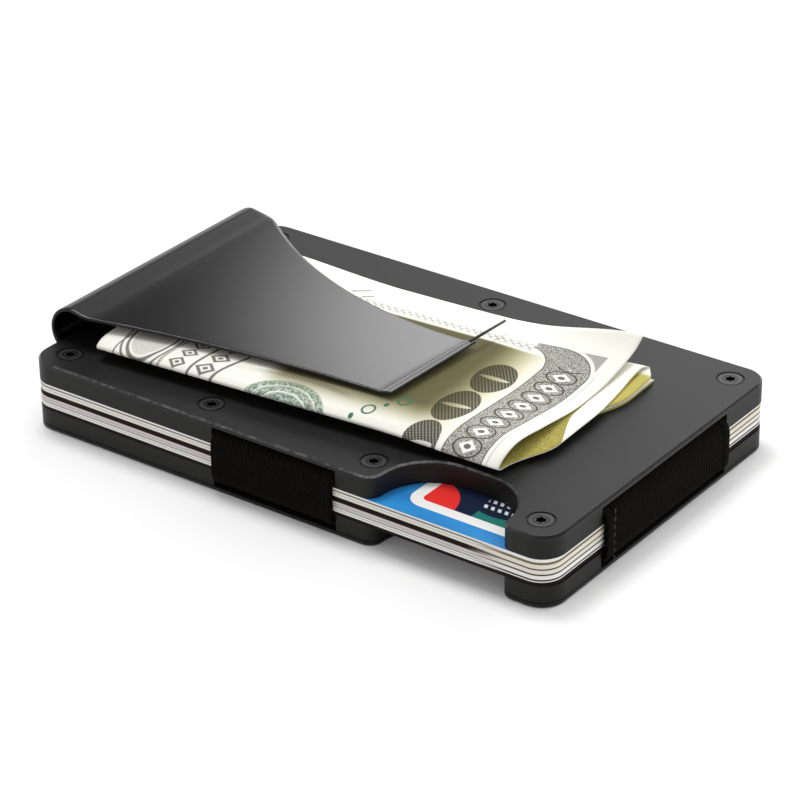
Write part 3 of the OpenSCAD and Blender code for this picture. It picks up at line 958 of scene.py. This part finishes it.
# How wide the top layer is, and how far past its near fold the other folds are, along the sheet
TOP_LAYER = 37.6
OTHER_FOLDS = 34.8, 65.6, 95.4

# The folded note seen from its end, as (distance from the near fold, height over the cover): top layer,
# near fold, second layer, far fold, third layer, near fold, fourth layer, far fold and bottom layer.
# It lies like PRESSED under the clip and like FANNED at its free end.
PRESSED = [(40, 2.6), (36, 2.75), (30, 2.9), (20, 3.0), (10, 3.0), (4, 2.94),
           (1.4, 2.74), (0.35, 2.35), (0, 1.95), (0.35, 1.55),
           (1.5, 1.45), (5, 1.58), (14, 1.8), (26, 1.85), (31, 1.8),
           (33.6, 1.68), (34.4, 1.38), (33.6, 1.08),
           (31, 1.0), (26, 0.96), (14, 0.92), (7, 0.88),
           (4.9, 0.8), (4.2, 0.64), (4.9, 0.48),
           (7, 0.4), (14, 0.38), (26, 0.38), (30.5, 0.38),
           (32.8, 0.36), (33.4, 0.25), (32.8, 0.14),
           (30.5, 0.12), (20, 0.12), (2, 0.12)]
FANNED = [(38.6, 6.2), (36.8, 5.2), (33.9, 3.35), (28.5, 1.95), (24, 1.4), (18.5, 1.35), (10.5, 2.35),
          (5.2, 3.0), (1.9, 2.5), (0, 1.3), (0.7, 0.82),
          (2.4, 0.76), (6, 0.88), (14, 1.04), (26, 1.12), (31, 1.5),
          (33.4, 1.62), (34.3, 1.36), (33.4, 1.02),
          (31, 0.88), (26, 0.74), (14, 0.66), (7, 0.6),
          (4.9, 0.56), (4.2, 0.47), (4.9, 0.38),
          (7, 0.36), (14, 0.36), (26, 0.36), (30.5, 0.36),
          (32.8, 0.34), (33.4, 0.24), (32.8, 0.14),
          (30.5, 0.12), (20, 0.12), (2, 0.12)]


def unrolled(section):
    """A section's smooth curve, and how far along the sheet each point is past the first near fold."""
    path = smooth_path(section, 0.1)
    upper = path[: len(path) // 3]
    s = lengths(path)
    return path, s - s[np.argmin(upper[:, 0])]


def sheet_stations():
    """Places along the unrolled sheet, closer together at its folds."""
    at = [-TOP_LAYER]
    folds = np.array([0.0, *OTHER_FOLDS])
    while at[-1] < NOTE_LONG - TOP_LAYER:
        at.append(at[-1] + 0.1 + 0.5 * float(smoothstep((np.abs(folds - at[-1]).min() - 1.0) / 4)))
    return np.array(at)


def banknote(material, reverse):
    """One sheet folded into five layers: pressed flat under the clip, fanned open at the free end."""
    along = sheet_stations()
    sections = [np.stack([np.interp(along, where, path[:, k]) for k in (0, 1)], 1)
                for path, where in (unrolled(PRESSED), unrolled(FANNED))]
    rows = 84
    vertices, uvs = [], []
    for share in np.linspace(0, 1, rows):
        fold_x = NOTE_LEFT + (NOTE_RIGHT - NOTE_LEFT) * share
        fan = float(smoothstep((fold_x - CLIP_TIP_X) / (NOTE_RIGHT - CLIP_TIP_X)))
        across, height = ((1 - fan) * sections[0] + fan * sections[1]).T
        waist = float(smoothstep((share - 0.05) / 0.4) * (1 - smoothstep((share - 0.78) / 0.22)))
        across = across - 2.45 * waist * smoothstep((across - 16) / 20)
        skew = NOTE_SLOPE + (0.033 - NOTE_SLOPE) * fan
        lower = smoothstep(along / 2.0)
        third = smoothstep((along - 33.0) / 4.0)
        spread = fan * lower * (2.9 * smoothstep((across - 1) / 9) - 1.3 * smoothstep((across - 18) / 16))
        spread = spread * (1 - 0.9 * third) + fan * third * 3.4 * smoothstep((across - 15) / 12)
        ripple = 0.05 * np.sin(fold_x / 5.1 + across / 9) * (1 - lower) * smoothstep(across / 6)
        x = fold_x - skew * across + spread
        y = NOTE_NEAR + NOTE_SLOPE * (fold_x - NOTE_LEFT) + across
        vertices += list(zip(x, y, TOP + height + ripple))
        uvs += [(share * NOTE_WIDE, -a) for a in along]
    piece = new_object("folded_banknote", vertices, sheet_faces(rows, len(along)), uvs)
    paper = piece.modifiers.new("paper", "SOLIDIFY")
    paper.thickness, paper.offset, paper.material_offset, paper.use_even_offset = PAPER_T * MM, 0.0, 1, True
    material.give(piece)
    piece.data.materials.append(reverse.material)
    settle(piece)
    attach(piece, "banknote")
    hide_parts("banknote")


# Camera and light


def toward(azimuth, elevation):
    """The direction at these degrees from +Y toward +X, and above the table."""
    a, e = math.radians(azimuth), math.radians(elevation)
    return Vector((math.sin(a) * math.cos(e), math.cos(a) * math.cos(e), math.sin(e)))


def place_camera():
    """Looks at the middle of the wallet from its near right, 28 degrees above the table."""
    target, distance, roll = Vector((0.147, 0.405, 5.0)) * MM, 420.5 * MM, math.radians(-0.626)
    back = toward(180 - 36.39, 28.25)
    side = Vector((0, 0, 1)).cross(back).normalized()
    up = back.cross(side)
    right = math.cos(roll) * side + math.sin(roll) * up
    up = -math.sin(roll) * side + math.cos(roll) * up
    data = bpy.data.cameras.new("camera")
    data.sensor_width, data.lens = 36.0, 138.13
    camera = bpy.data.objects.new("camera", data)
    turn = Matrix((right, up, back)).transposed().to_4x4()
    camera.matrix_world = Matrix.Translation(target + back * distance) @ turn
    bpy.context.scene.collection.objects.link(camera)
    bpy.context.scene.camera = camera


def studio_world():
    """A white room: a dark drape at the back left, a softbox beside it with a soft left edge and a sharper
    upper one, a bright backdrop low behind the wallet, and a darker front."""
    world = bpy.data.worlds.new("studio")
    room = Nodes(world)
    direction = room.split(room.node("ShaderNodeTexCoord").outputs["Generated"])

    def along(v):
        return direction[0] * v[0] + direction[1] * v[1] + direction[2] * v[2]

    low = 1 - direction[2].step(0.16, 0.35)
    drape = along(toward(-70, 22)).step(0.35, 0.65) * (1 - low)
    left_edge = along(toward(71.77, 30.08)).step(-0.056, 0.016)
    upper_edge = along(toward(-1.608, -55.22)).step(-0.014, -0.002)
    softbox = left_edge * along(toward(-12, 36)).step(0.74, 0.88) * upper_edge
    backdrop = low * along(toward(-42, 5)).step(0.6, 0.85)
    front = along(toward(150, 12)).step(0.25, 0.9)
    glow = (1 - drape * 0.86) * (1 - front * FRONT_SHADE) + softbox * SOFTBOX + backdrop * BACKDROP
    background = room.tree.nodes["Background"]
    background.inputs["Color"].default_value = (1, 1, 1, 1)
    room.feed(background.inputs["Strength"], glow * ROOM_LIGHT)
    return world


def light_studio():
    """The white room, one large soft lamp above its back left, and a white table."""
    scene = bpy.context.scene
    scene.view_settings.view_transform = "Standard"
    scene.world = studio_world()

    lamp = bpy.data.lights.new("key", "AREA")
    lamp.size, lamp.energy = 0.3, KEY_POWER
    distance = 0.8
    key = bpy.data.objects.new("key", lamp)
    key.location = toward(-70, 72) * distance
    key.rotation_euler = (-Vector(key.location)).to_track_quat("-Z", "Y").to_euler()
    scene.collection.objects.link(key)

    reach = 4000
    corners = [(-reach, -reach, 0), (reach, -reach, 0), (reach, reach, 0), (-reach, reach, 0)]
    floor = new_object("floor", corners, [(0, 1, 2, 3)])
    paint = Paint("floor_white")
    paint.set(Base_Color=(0.9, 0.9, 0.9), Roughness=0.9, Specular_IOR_Level=0.0)
    paint.set(Emission_Color=(1, 1, 1), Emission_Strength=FLOOR_GLOW)
    paint.give(floor)


place_camera()
light_studio()
paint_cad_nodes(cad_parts)
elastic = woven_elastic()
cross_band(elastic)
end_band(elastic)
money_clip(spring_steel())
banknote(note_front(), note_reverse())
